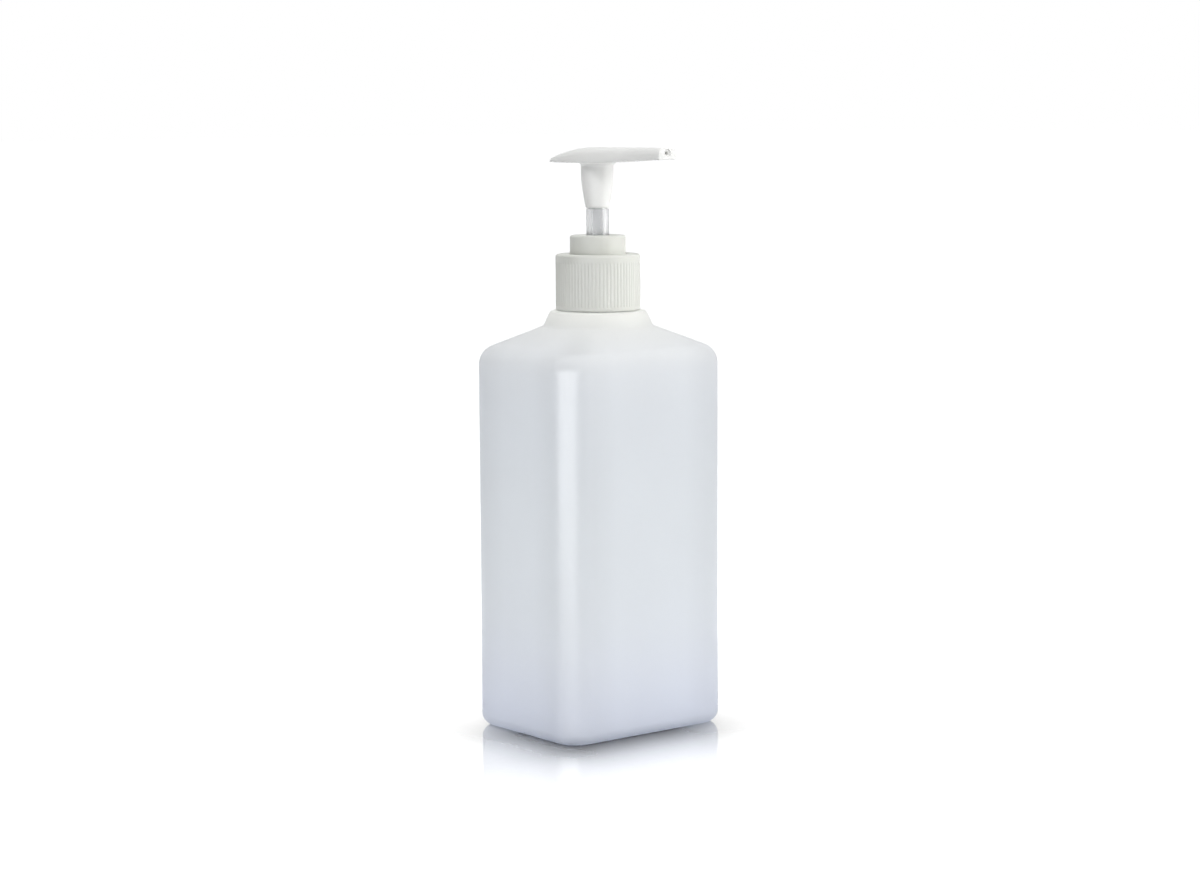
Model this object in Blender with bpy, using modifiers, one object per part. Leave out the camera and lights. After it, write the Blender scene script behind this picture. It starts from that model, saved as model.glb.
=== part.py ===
"""Lotion pump bottle: a blow-moulded bottle of rounded rectangular section with a threaded neck,
a ribbed screw closure and a pump that is pressed down against its spring.
The origin is on the neck's axis, in the plane that the bottle stands on. +Z is up, X runs along
the wide faces, and the spout points along -Y."""
import math

import bmesh
import bpy
from mathutils import Matrix, Vector

MM = 0.001
TURN = 2.0 * math.pi

# Clearance between pieces that touch on the real object
SEAT = 0.30 * MM

# Bottle body
BODY_X = 91.2 * MM
BODY_Y = 73.1 * MM
CORNER_R = 13.0 * MM
FOOT_R = 5.3 * MM
RIM_WIDTH = 3.4 * MM
PANEL_SLOPE = 2.2 * MM
PANEL_RECESS = 1.2 * MM
BODY_WALL = 1.2 * MM
SHOULDER_EDGE_Z = 168.7 * MM
SHOULDER_R = 9.0 * MM

# Collar between the shoulder and the neck
COLLAR_FOOT_R = 24.4 * MM
COLLAR_FOOT_Z = 179.5 * MM
COLLAR_FOOT_FILLET = 2.0 * MM
COLLAR_TOP_R = 21.2 * MM
COLLAR_TOP_Z = 186.3 * MM
COLLAR_TOP_FILLET = 1.8 * MM

# Threaded neck
NECK_ROOT_R = 15.1 * MM
NECK_WALL = 2.2 * MM
NECK_HEIGHT = 18.5 * MM
RIM_CHAMFER = 0.45 * MM
THREAD_PITCH = 4.23 * MM
THREAD_TURNS = 1.5
THREAD_DEPTH = 1.15 * MM
THREAD_BASE = 1.9 * MM
THREAD_CREST = 0.9 * MM
THREAD_START = 5.2 * MM

# Screw closure
CAP_R = 18.8 * MM
CAP_HEIGHT = 24.5 * MM
CAP_GAP = 0.4 * MM
CAP_PLATE = 1.6 * MM
CAP_WALL = 2.0 * MM
CAP_EDGE_R = 1.1 * MM
CAP_RIBS = 72
RIB_DEPTH = 0.38 * MM
RIB_FOOT = 1.5 * MM
RIB_TOP = 3.4 * MM
CAP_THREAD_DEPTH = 1.2 * MM
CAP_THREAD_BASE = 1.5 * MM
CAP_THREAD_CREST = 0.7 * MM
CAP_THREAD_TURNS = 1.25

# Chaplet, the boss that guides the stem
BOSS_R = 12.4 * MM
BOSS_RISE = 8.3 * MM
BOSS_EDGE_R = 1.0 * MM
BOSS_WALL = 1.5 * MM
BOSS_TOP = 1.8 * MM
GUIDE_WALL = 1.2 * MM
GUIDE_DEPTH = 9.0 * MM
FLANGE_R = 14.9 * MM
FLANGE_THICK = 1.2 * MM
GASKET_THICK = 1.2 * MM

# Pump housing
BARREL_BORE_R = 7.0 * MM
BARREL_WALL = 1.2 * MM
BARREL_LENGTH = 49.0 * MM
CAGE_BORE_R = 2.8 * MM
CAGE_LIP_R = 2.1 * MM
CAGE_LENGTH = 5.6 * MM
LIP_THICK = 0.8 * MM
SEAT_HOLE_R = 1.6 * MM
CAGE_WALL = 1.5 * MM
SOCKET_LENGTH = 12.0 * MM
SOCKET_WALL = 1.2 * MM
VENT_R = 0.6 * MM
VENT_DROP = 7.0 * MM

# Stem, piston and rod
STEM_R = 5.05 * MM
STEM_BORE_R = 2.25 * MM
STEM_INSERT = 14.0 * MM
SPIGOT_R = 3.9 * MM
SPIGOT_LENGTH = 14.6 * MM
STROKE = 11.4 * MM
STROKE_SPARE = 0.5 * MM
PISTON_LENGTH = 8.4 * MM
PISTON_CORE_R = 4.6 * MM
PISTON_WAIST_R = 5.2 * MM
LIP_HEIGHT = 2.6 * MM
ROD_R = 1.9 * MM
ROD_GRIP = 10.0 * MM
VALVE_R = 4.2 * MM
VALVE_HEIGHT = 2.6 * MM
SPRING_SEAT_R = 5.7 * MM
SPRING_SEAT_THICK = 1.2 * MM
SPIKE_R = 3.2 * MM
SPIKE_LENGTH = 4.2 * MM

# Return spring and inlet ball
WIRE_R = 0.45 * MM
COIL_R = 4.9 * MM
COIL_TURNS = 8.0
DEAD_TURNS = 1.0
DEAD_PITCH = 1.2 * MM
BALL_R = 2.4 * MM

# Dip tube
TUBE_R = 2.9 * MM
TUBE_WALL = 0.8 * MM
TUBE_SEATED = 9.0 * MM
TUBE_FOOT_Z = 6.5 * MM
TUBE_CUT_ANGLE = 35.0

# Actuator head
SLEEVE_FOOT_R = 5.3 * MM
SLEEVE_TOP_R = 7.3 * MM
SLEEVE_LENGTH = 19.8 * MM
SLEEVE_TAPER = 12.5 * MM
HEAD_THICK = 7.0 * MM
SPOUT_REACH = 48.0 * MM
SPOUT_HALF = 5.0 * MM
SPOUT_RISE = 1.9 * MM
PAD_HALF = 9.6 * MM
PAD_REACH = 30.4 * MM
PAD_TIP_HALF = 1.6 * MM
PAD_TIP_THICK = 1.0 * MM
CHANNEL_R = 1.4 * MM
ORIFICE_R = 1.0 * MM
ORIFICE_DROP = 2.3 * MM
NOZZLE_RECESS = 0.6 * MM

# Heights that follow from the sizes above
NECK_FOOT_Z = COLLAR_TOP_Z
RIM_Z = NECK_FOOT_Z + NECK_HEIGHT
CAP_FOOT_Z = COLLAR_TOP_Z + CAP_GAP
CAP_TOP_Z = CAP_FOOT_Z + CAP_HEIGHT
GASKET_FOOT_Z = RIM_Z + SEAT
HOUSING_FLANGE_Z = GASKET_FOOT_Z + GASKET_THICK + SEAT
HOUSING_TOP_Z = HOUSING_FLANGE_Z + FLANGE_THICK
CHAPLET_FOOT_Z = HOUSING_TOP_Z + SEAT
CHAPLET_FLANGE_Z = CAP_TOP_Z - CAP_PLATE - SEAT
BOSS_TOP_Z = CAP_TOP_Z + BOSS_RISE
BARREL_FLOOR_Z = HOUSING_TOP_Z - BARREL_LENGTH
BALL_SEAT_Z = BARREL_FLOOR_Z - LIP_THICK - CAGE_LENGTH
SLEEVE_FOOT_Z = BOSS_TOP_Z + STROKE + STROKE_SPARE
HEAD_FOOT_Z = SLEEVE_FOOT_Z + SLEEVE_LENGTH
HEAD_TOP_Z = HEAD_FOOT_Z + HEAD_THICK
STEM_TOP_Z = SLEEVE_FOOT_Z - SEAT
STEM_FOOT_Z = BOSS_TOP_Z - BOSS_TOP - GUIDE_DEPTH - STEM_INSERT
PISTON_TOP_Z = STEM_FOOT_Z - SEAT
PISTON_FOOT_Z = PISTON_TOP_Z - PISTON_LENGTH
VALVE_TOP_Z = PISTON_FOOT_Z - SEAT
SPRING_SEAT_Z = VALVE_TOP_Z - VALVE_HEIGHT - SPRING_SEAT_THICK
BORE_R = NECK_ROOT_R - NECK_WALL

# Number of straight sides around round pieces
ROUND = 40
MIDDLE_ROUND = 32
SMALL_ROUND = 24
TINY_ROUND = 16


def clear_scene():
    for item in list(bpy.data.objects):
        bpy.data.objects.remove(item, do_unlink=True)


def new_collection(name):
    group = bpy.data.collections.new(name)
    bpy.context.scene.collection.children.link(group)
    return group


def plastic(name, colour, roughness, metallic=0.0, clear=0.0):
    """A Principled material of one colour; clear is its share of transmitted light."""
    material = bpy.data.materials.new(name)
    material.use_nodes = True
    shader = material.node_tree.nodes["Principled BSDF"]
    shader.inputs["Base Color"].default_value = (*colour, 1.0)
    shader.inputs["Roughness"].default_value = roughness
    shader.inputs["Metallic"].default_value = metallic
    shader.inputs["Transmission Weight"].default_value = clear
    material.diffuse_color = (*colour, 1.0)
    return material


def add_object(name, mesh, group, material=None, smooth_angle=30.0):
    piece = bpy.data.objects.new(name, mesh)
    group.objects.link(piece)
    if material:
        mesh.materials.append(material)
        mesh.shade_smooth()
        mesh.set_sharp_from_angle(angle=math.radians(smooth_angle))
    return piece


def make_cutter(piece):
    piece.hide_render = True
    piece.display_type = "WIRE"
    return piece


def boolean(piece, other, operation):
    modifier = piece.modifiers.new(f"{operation.lower()}_{other.name}", "BOOLEAN")
    modifier.operation = operation
    modifier.solver = "EXACT"
    modifier.object = other
    make_cutter(other)


def turned(name, outline, group, material=None, sides=ROUND):
    """Turn a closed outline of (radius, height) points about Z. It runs down its outer side."""
    mesh = bpy.data.meshes.new(name)
    points = [(radius, 0.0, height) for radius, height in outline]
    edges = [(k, (k + 1) % len(points)) for k in range(len(points))]
    mesh.from_pydata(points, edges, [])
    piece = add_object(name, mesh, group, material)
    screw = piece.modifiers.new("turn", "SCREW")
    screw.axis = "Z"
    screw.angle = TURN
    screw.steps = int(sides)
    screw.render_steps = int(sides)
    screw.use_merge_vertices = True
    screw.merge_threshold = 0.00001
    screw.use_smooth_shade = True
    return piece


def turned_solid(name, outline, group, sides=ROUND):
    """Turn an open outline that starts and ends on the axis. It runs from top to bottom."""
    mesh = bpy.data.meshes.new(name)
    points = [(radius, 0.0, height) for radius, height in outline]
    edges = [(k, k + 1) for k in range(len(points) - 1)]
    mesh.from_pydata(points, edges, [])
    piece = add_object(name, mesh, group)
    screw = piece.modifiers.new("turn", "SCREW")
    screw.axis = "Z"
    screw.angle = TURN
    screw.steps = int(sides)
    screw.render_steps = int(sides)
    screw.use_merge_vertices = True
    screw.merge_threshold = 0.00001
    return piece


def loft(name, rings, group, material=None, looped=False):
    """Skin a list of rings with equal counts of points; the ends are capped, or joined if looped.
    Each ring runs counter-clockwise, seen from the side that the list goes towards."""
    mesh = bpy.data.meshes.new(name)
    shape = bmesh.new()
    loops = [[shape.verts.new(point) for point in ring] for ring in rings]
    pairs = list(zip(loops, loops[1:]))
    if looped:
        pairs.append((loops[-1], loops[0]))
    for low, high in pairs:
        for k in range(len(low)):
            after = (k + 1) % len(low)
            shape.faces.new((low[k], low[after], high[after], high[k]))
    if not looped:
        shape.faces.new(list(reversed(loops[0])))
        shape.faces.new(loops[-1])
    shape.to_mesh(mesh)
    shape.free()
    return add_object(name, mesh, group, material)


def arc(centre, radius, start, end, steps):
    """Points of an arc in the (radius, height) plane, with its outward direction at each."""
    points = []
    for k in range(steps + 1):
        angle = math.radians(start + (end - start) * k / steps)
        across, up = math.cos(angle), math.sin(angle)
        points.append((centre[0] + radius * across, centre[1] + radius * up, across, up))
    return points


ARC_POINTS = 7
LONG_POINTS = 5
SHORT_POINTS = 3


def rounded_rectangle(half_x, half_y, corner):
    """The points of a rounded rectangle, in order from the middle of its +X side."""
    corner = max(corner, 0.4 * MM)
    low = math.atan2(half_y - corner, half_x)
    high = math.atan2(half_y, half_x - corner)
    quarter = []
    half_side = (SHORT_POINTS - 1) // 2
    for k in range(half_side + 1):
        angle = low * k / (half_side + 1)
        quarter.append((half_x, half_x * math.tan(angle)))
    for k in range(ARC_POINTS):
        angle = 0.5 * math.pi * k / (ARC_POINTS - 1)
        quarter.append((half_x - corner + corner * math.cos(angle),
                        half_y - corner + corner * math.sin(angle)))
    top = []
    half_side = (LONG_POINTS - 1) // 2
    for k in range(1, half_side + 2):
        angle = high + (0.5 * math.pi - high) * k / (half_side + 1)
        top.append((half_y / math.tan(angle), half_y))
    first = quarter + top
    second = [(-x, y) for x, y in reversed(first[:-1])]
    upper = first + second
    lower = [(x, -y) for x, y in reversed(upper[1:-1])]
    return upper + lower


def body_ring(share, radius, inset, height):
    """A section between the body's rounded rectangle (share 0) and a circle (share 1)."""
    box = rounded_rectangle(BODY_X / 2 - inset, BODY_Y / 2 - inset, CORNER_R - inset)
    outer = rounded_rectangle(BODY_X / 2, BODY_Y / 2, CORNER_R)
    ring = []
    for (x, y), (x_out, y_out) in zip(box, outer):
        angle = math.atan2(y_out, x_out)
        ring.append(((1 - share) * x + share * radius * math.cos(angle),
                     (1 - share) * y + share * radius * math.sin(angle), height))
    return ring


def corner_reach():
    """Distance from the axis to the outside of the body's vertical corner."""
    return math.hypot(BODY_X / 2 - CORNER_R, BODY_Y / 2 - CORNER_R) + CORNER_R


def blend_arc(before, bend, after, radius, steps):
    """The rounding of a bend in a (radius, height) line, with its outward normals."""
    back = Vector(before) - Vector(bend)
    ahead = Vector(after) - Vector(bend)
    back.normalize()
    ahead.normalize()
    half = 0.5 * back.angle(ahead)
    centre = Vector(bend) + (back + ahead).normalized() * radius / math.sin(half)
    start = Vector(bend) + back * radius / math.tan(half)
    end = Vector(bend) + ahead * radius / math.tan(half)
    first = (start - centre).normalized()
    last = (end - centre).normalized()
    sign = 1.0 if (back.x * ahead.y - back.y * ahead.x) < 0 else -1.0
    points = []
    for k in range(steps + 1):
        spoke = first.slerp(last, k / steps)
        place = centre + spoke * radius
        points.append((place.x, place.y, spoke.x * sign, spoke.y * sign))
    return points


def bottle_profile():
    """The outside of the bottle from its base panel to its rim.
    Each row is (share, radius, inset, height, normal out, normal up, wall)."""
    rows = []
    rim_inner = FOOT_R + RIM_WIDTH
    rows.append((0, 0, rim_inner + PANEL_SLOPE, PANEL_RECESS, 0, -1, BODY_WALL))
    rows.append((0, 0, rim_inner, 0.0, 0, -1, BODY_WALL))
    for k in range(5):
        angle = 0.5 * math.pi * k / 4
        inset = FOOT_R * (1 - math.sin(angle))
        height = FOOT_R * (1 - math.cos(angle))
        rows.append((0, 0, inset, height, math.sin(angle), -math.cos(angle), BODY_WALL))
    edge = corner_reach()
    foot = (COLLAR_FOOT_R, COLLAR_FOOT_Z)
    corner = (edge, SHOULDER_EDGE_Z)
    top = (COLLAR_TOP_R, COLLAR_TOP_Z)
    shoulder = blend_arc((edge, 0.0), corner, foot, SHOULDER_R, 5)
    shoulder += blend_arc(corner, foot, top, COLLAR_FOOT_FILLET, 2)
    for reach, height, out, up in shoulder:
        share = (edge - reach) / (edge - COLLAR_FOOT_R)
        if share <= 1.0:
            rows.append((share, COLLAR_FOOT_R, 0, height, out, up, BODY_WALL))
        else:
            rows.append((1.0, reach, 0, height, out, up, BODY_WALL))
    inner = (NECK_ROOT_R, COLLAR_TOP_Z)
    for reach, height, out, up in blend_arc(foot, top, inner, COLLAR_TOP_FILLET, 2):
        rows.append((1.0, reach, 0, height, out, up, BODY_WALL))
    rows.append((1.0, NECK_ROOT_R, 0, NECK_FOOT_Z + CAP_GAP, 1, 0, NECK_WALL))
    rows.append((1.0, NECK_ROOT_R, 0, RIM_Z - RIM_CHAMFER, 1, 0, NECK_WALL))
    return rows


def helix_ridge(name, group, root, crest, base, tip, start, turns, phase):
    """A screw thread's ridge: a tapering section swept along a helix, fading at both ends.
    The crest may lie inside or outside the root, so it serves a neck and a cap."""
    steps = int(round(turns * 18))
    rings = []
    for k in range(steps + 1):
        angle = TURN * turns * k / steps + phase
        height = start + THREAD_PITCH * turns * k / steps
        fade = min(1.0, 0.15 + k / 3.0, 0.15 + (steps - k) / 3.0)
        reach = root + (crest - root) * fade
        across, along = math.cos(angle), math.sin(angle)
        section = [(root, -base / 2), (reach, -tip / 2 * fade), (reach, tip / 2 * fade), (root, base / 2)]
        if crest > root:
            section.reverse()
        rings.append([(radius * across, radius * along, height + rise) for radius, rise in section])
    return loft(name, rings, group)


def make_bottle(group, tools, material):
    profile = bottle_profile()
    outside = [body_ring(share, radius, inset, height)
               for share, radius, inset, height, out, up, wall in profile]
    inside = [body_ring(share, radius - wall * out, inset + wall * out, height - wall * up)
              for share, radius, inset, height, out, up, wall in profile]
    rim = [body_ring(1.0, NECK_ROOT_R - RIM_CHAMFER, 0, RIM_Z),
           body_ring(1.0, BORE_R + RIM_CHAMFER, 0, RIM_Z)]
    bottle = loft("bottle", outside + rim + list(reversed(inside)), group, material)
    buried = 0.35 * MM
    thread = helix_ridge("neck_thread", tools, NECK_ROOT_R - buried, NECK_ROOT_R + THREAD_DEPTH,
                         THREAD_BASE, THREAD_CREST, NECK_FOOT_Z + THREAD_START, THREAD_TURNS, 0.0)
    boolean(bottle, thread, "UNION")
    return bottle


def ribbed_ring(radius, depth, height):
    """A circle whose radius dips by depth at every second point."""
    count = 2 * CAP_RIBS
    ring = []
    for k in range(count):
        reach = radius - (depth if k % 2 else 0.0)
        angle = TURN * k / count
        ring.append((reach * math.cos(angle), reach * math.sin(angle), height))
    return ring


def make_closure(group, tools, material):
    """The ribbed screw cap, open below, with a hole in its plate for the chaplet."""
    bore = CAP_R - CAP_WALL
    hole = BOSS_R + SEAT
    plate = CAP_TOP_Z - CAP_PLATE
    lead = 0.6 * MM
    fade = 0.5 * MM
    outline = [
        (bore + lead, 0, CAP_FOOT_Z),
        (CAP_R - lead, 0, CAP_FOOT_Z),
        (CAP_R, 0, CAP_FOOT_Z + lead),
        (CAP_R, 0, CAP_FOOT_Z + RIB_FOOT - fade),
        (CAP_R, RIB_DEPTH, CAP_FOOT_Z + RIB_FOOT),
        (CAP_R, RIB_DEPTH, CAP_TOP_Z - RIB_TOP),
        (CAP_R, 0, CAP_TOP_Z - RIB_TOP + fade),
    ]
    centre = (CAP_R - CAP_EDGE_R, CAP_TOP_Z - CAP_EDGE_R)
    outline += [(x, 0, z) for x, z, out, up in arc(centre, CAP_EDGE_R, 0, 90, 2)]
    outline += [(hole, 0, CAP_TOP_Z), (hole, 0, plate), (bore, 0, plate), (bore, 0, CAP_FOOT_Z + lead)]
    rings = [ribbed_ring(radius, depth, height) for radius, depth, height in outline]
    closure = loft("closure", rings, group, material, looped=True)
    buried = 0.35 * MM
    start = NECK_FOOT_Z + THREAD_START - THREAD_PITCH / 2
    thread = helix_ridge("cap_thread", tools, bore + buried, bore - CAP_THREAD_DEPTH,
                         CAP_THREAD_BASE, CAP_THREAD_CREST, start + THREAD_PITCH,
                         CAP_THREAD_TURNS, 0.0)
    boolean(closure, thread, "UNION")
    return closure


def make_chaplet(group, material):
    """The boss on the cap: a hollow shell with a flange below the cap's plate and a stem guide."""
    bore = STEM_R + SEAT
    guide = bore + GUIDE_WALL
    shell = BOSS_R - BOSS_WALL
    under = BOSS_TOP_Z - BOSS_TOP
    lead = 0.4 * MM
    centre = (BOSS_R - BOSS_EDGE_R, BOSS_TOP_Z - BOSS_EDGE_R)
    outline = [(x, z) for x, z, out, up in reversed(arc(centre, BOSS_EDGE_R, 0, 90, 3))]
    outline += [
        (BOSS_R, CHAPLET_FLANGE_Z),
        (FLANGE_R, CHAPLET_FLANGE_Z),
        (FLANGE_R, CHAPLET_FOOT_Z),
        (shell, CHAPLET_FOOT_Z),
        (shell, under),
        (guide, under),
        (guide, under - GUIDE_DEPTH),
        (bore, under - GUIDE_DEPTH),
        (bore, BOSS_TOP_Z - lead),
        (bore + lead, BOSS_TOP_Z),
    ]
    return turned("chaplet", outline, group, material)


def make_gasket(group, material):
    outline = [(FLANGE_R, GASKET_FOOT_Z + GASKET_THICK), (FLANGE_R, GASKET_FOOT_Z),
               (BORE_R, GASKET_FOOT_Z), (BORE_R, GASKET_FOOT_Z + GASKET_THICK)]
    return turned("neck_gasket", outline, group, material)


def make_housing(group, tools, material):
    """The pump's barrel with its flange, ball cage and dip tube socket, and a small vent."""
    barrel = BARREL_BORE_R + BARREL_WALL
    cage = CAGE_BORE_R + CAGE_WALL
    socket_bore = TUBE_R + SEAT
    socket = socket_bore + SOCKET_WALL
    socket_foot = BALL_SEAT_Z - LIP_THICK - SOCKET_LENGTH
    cone = CAGE_BORE_R - SEAT_HOLE_R
    outline = [
        (FLANGE_R, HOUSING_TOP_Z),
        (FLANGE_R, HOUSING_FLANGE_Z),
        (barrel, HOUSING_FLANGE_Z),
        (barrel, BARREL_FLOOR_Z),
        (cage + 1.0 * MM, BARREL_FLOOR_Z - 2.4 * MM),
        (cage + 0.6 * MM, BALL_SEAT_Z),
        (socket, BALL_SEAT_Z - 1.2 * MM),
        (socket, socket_foot),
        (socket_bore, socket_foot),
        (socket_bore, BALL_SEAT_Z - LIP_THICK),
        (SEAT_HOLE_R, BALL_SEAT_Z - LIP_THICK),
        (SEAT_HOLE_R, BALL_SEAT_Z),
        (CAGE_BORE_R, BALL_SEAT_Z + cone),
        (CAGE_BORE_R, BARREL_FLOOR_Z - LIP_THICK),
        (CAGE_LIP_R, BARREL_FLOOR_Z - LIP_THICK),
        (CAGE_LIP_R, BARREL_FLOOR_Z),
        (BARREL_BORE_R, BARREL_FLOOR_Z),
        (BARREL_BORE_R, HOUSING_TOP_Z),
    ]
    housing = turned("pump_housing", outline, group, material, SMALL_ROUND)
    vent_height = HOUSING_FLANGE_Z - VENT_DROP
    drill = bmesh.new()
    place = Matrix.Translation((barrel, 0.0, vent_height)) @ Matrix.Rotation(math.pi / 2, 4, "Y")
    bmesh.ops.create_cone(drill, cap_ends=True, segments=8, radius1=VENT_R, radius2=VENT_R,
                          depth=4 * BARREL_WALL, matrix=place)
    mesh = bpy.data.meshes.new("vent_drill")
    drill.to_mesh(mesh)
    drill.free()
    boolean(housing, add_object("vent_drill", mesh, tools), "DIFFERENCE")
    return housing


def make_stem(group, material):
    """The clear tube: full size through the boss, with a thinner spigot inside the sleeve."""
    outline = [
        (SPIGOT_R, STEM_TOP_Z + SPIGOT_LENGTH),
        (SPIGOT_R, STEM_TOP_Z),
        (STEM_R, STEM_TOP_Z),
        (STEM_R, STEM_FOOT_Z),
        (STEM_BORE_R, STEM_FOOT_Z),
        (STEM_BORE_R, STEM_TOP_Z + SPIGOT_LENGTH),
    ]
    return turned("stem", outline, group, material, MIDDLE_ROUND)


def make_piston(group, material):
    """A hub with a wiping lip at each end that runs in the barrel."""
    wall = BARREL_BORE_R - SEAT
    bore = ROD_R + SEAT
    lip = 0.7 * MM
    outline = [
        (wall, PISTON_TOP_Z),
        (wall, PISTON_TOP_Z - LIP_HEIGHT / 3),
        (PISTON_WAIST_R, PISTON_TOP_Z - LIP_HEIGHT),
        (PISTON_WAIST_R, PISTON_FOOT_Z + LIP_HEIGHT),
        (wall, PISTON_FOOT_Z + LIP_HEIGHT / 3),
        (wall, PISTON_FOOT_Z),
        (wall - lip, PISTON_FOOT_Z),
        (PISTON_CORE_R, PISTON_FOOT_Z + LIP_HEIGHT * 0.8),
        (PISTON_CORE_R - lip, PISTON_FOOT_Z + lip),
        (bore, PISTON_FOOT_Z + lip),
        (bore, PISTON_TOP_Z - lip),
        (PISTON_CORE_R - lip, PISTON_TOP_Z - lip),
        (PISTON_CORE_R, PISTON_TOP_Z - LIP_HEIGHT * 0.8),
        (wall - lip, PISTON_TOP_Z),
    ]
    return turned("piston", outline, group, material, SMALL_ROUND)


def make_rod(group, material):
    """The rod pressed into the stem, with its valve head and the seat for the spring."""
    top = STEM_FOOT_Z + ROD_GRIP
    chamfer = 0.5 * MM
    outline = [
        (0.0, top),
        (ROD_R - chamfer, top),
        (ROD_R, top - chamfer),
        (ROD_R, VALVE_TOP_Z),
        (VALVE_R - 2 * chamfer, VALVE_TOP_Z),
        (VALVE_R, VALVE_TOP_Z - 2 * chamfer),
        (VALVE_R, SPRING_SEAT_Z + SPRING_SEAT_THICK),
        (SPRING_SEAT_R, SPRING_SEAT_Z + SPRING_SEAT_THICK),
        (SPRING_SEAT_R, SPRING_SEAT_Z),
        (SPIKE_R, SPRING_SEAT_Z),
        (SPIKE_R, SPRING_SEAT_Z - SPIKE_LENGTH + chamfer),
        (SPIKE_R - chamfer, SPRING_SEAT_Z - SPIKE_LENGTH),
        (0.0, SPRING_SEAT_Z - SPIKE_LENGTH),
    ]
    rod = turned_solid("piston_rod", outline, group, TINY_ROUND)
    rod.data.materials.append(material)
    return rod


def spring_height(turn, low, high):
    """Height of the wire after so many turns: flat coils at both ends, even pitch between."""
    dead = DEAD_TURNS * DEAD_PITCH
    active = COIL_TURNS - 2 * DEAD_TURNS
    if turn <= DEAD_TURNS:
        return low + DEAD_PITCH * turn
    if turn >= COIL_TURNS - DEAD_TURNS:
        return high - DEAD_PITCH * (COIL_TURNS - turn)
    return low + dead + (high - low - 2 * dead) * (turn - DEAD_TURNS) / active


def make_spring(group, material):
    """A compression spring with closed end coils, between the barrel's floor and the rod."""
    low = BARREL_FLOOR_Z + SEAT + WIRE_R
    high = SPRING_SEAT_Z - SEAT - WIRE_R
    per_turn = 10
    count = int(COIL_TURNS * per_turn) + 1
    curve = bpy.data.curves.new("return_spring", "CURVE")
    curve.dimensions = "3D"
    curve.bevel_depth = WIRE_R
    curve.bevel_resolution = 2
    curve.use_fill_caps = True
    line = curve.splines.new("POLY")
    line.points.add(count - 1)
    for k, point in enumerate(line.points):
        turn = k / per_turn
        point.co = (COIL_R * math.cos(TURN * turn), COIL_R * math.sin(TURN * turn),
                    spring_height(turn, low, high), 1.0)
    curve.materials.append(material)
    spring = bpy.data.objects.new("return_spring", curve)
    group.objects.link(spring)
    return spring


def make_ball(group, material):
    """The inlet valve's ball, which rests on the cone of its seat."""
    half = math.sqrt(0.5)
    height = BALL_SEAT_Z - SEAT_HOLE_R + (BALL_R + SEAT) / half
    shape = bmesh.new()
    bmesh.ops.create_uvsphere(shape, u_segments=TINY_ROUND, v_segments=TINY_ROUND // 2, radius=BALL_R)
    mesh = bpy.data.meshes.new("inlet_ball")
    shape.to_mesh(mesh)
    shape.free()
    ball = add_object("inlet_ball", mesh, group, material, 60.0)
    ball.location = (0.0, 0.0, height)
    return ball


def make_dip_tube(group, tools, material):
    """The tube from the socket to the bottle's floor, with its foot cut on the slant."""
    top = BALL_SEAT_Z - LIP_THICK - SOCKET_LENGTH + TUBE_SEATED
    outline = [(TUBE_R, top), (TUBE_R, TUBE_FOOT_Z), (TUBE_R - TUBE_WALL, TUBE_FOOT_Z),
               (TUBE_R - TUBE_WALL, top)]
    tube = turned("dip_tube", outline, group, material, SMALL_ROUND)
    tilt = math.radians(TUBE_CUT_ANGLE)
    side = 6 * TUBE_R
    blade = bmesh.new()
    bmesh.ops.create_cube(blade, size=side)
    mesh = bpy.data.meshes.new("tube_blade")
    blade.to_mesh(mesh)
    blade.free()
    cutter = add_object("tube_blade", mesh, tools)
    rise = TUBE_R * math.tan(tilt)
    cutter.rotation_euler = (0.0, tilt, 0.0)
    below = Vector((-math.sin(tilt), 0.0, -math.cos(tilt))) * side / 2
    cutter.location = Vector((0.0, 0.0, TUBE_FOOT_Z + rise)) + below
    boolean(tube, cutter, "DIFFERENCE")
    return tube


def head_section(along, half, low, high):
    """A section of the head at a distance along it: flat below, arched above."""
    edge = min(0.5 * MM, 0.3 * (high - low), 0.4 * half)
    flank = low + edge
    power = 0.55
    steps = 8
    points = [(half - edge, low)]
    for k in range(steps + 1):
        angle = math.pi * k / steps
        across = math.copysign(abs(math.cos(angle)) ** power, math.cos(angle))
        rise = abs(math.sin(angle)) ** power
        points.append((half * across, flank + (high - flank) * rise))
    points.append((edge - half, low))
    return [(across, -along, height) for across, height in points]


def head_half_width(along):
    """Half the head's width: widest over the stem, slender at the spout, pointed behind."""
    if along >= 0:
        share = along / SPOUT_REACH
        return SPOUT_HALF + (PAD_HALF - SPOUT_HALF) * (0.5 + 0.5 * math.cos(math.pi * share ** 0.8))
    share = -along / PAD_REACH
    return PAD_TIP_HALF + (PAD_HALF - PAD_TIP_HALF) * math.sqrt(max(0.0, 1 - share ** 2.4))


def head_levels(along):
    """Underside and top of the head at a distance along it."""
    if along >= 0:
        start = SLEEVE_TOP_R
        share = max(0.0, (along - start) / (SPOUT_REACH - start))
        return HEAD_FOOT_Z + SPOUT_RISE * share, HEAD_TOP_Z
    share = -along / PAD_REACH
    fall = (HEAD_THICK - PAD_TIP_THICK) * share ** 1.6
    return HEAD_FOOT_Z, HEAD_TOP_Z - fall


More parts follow.
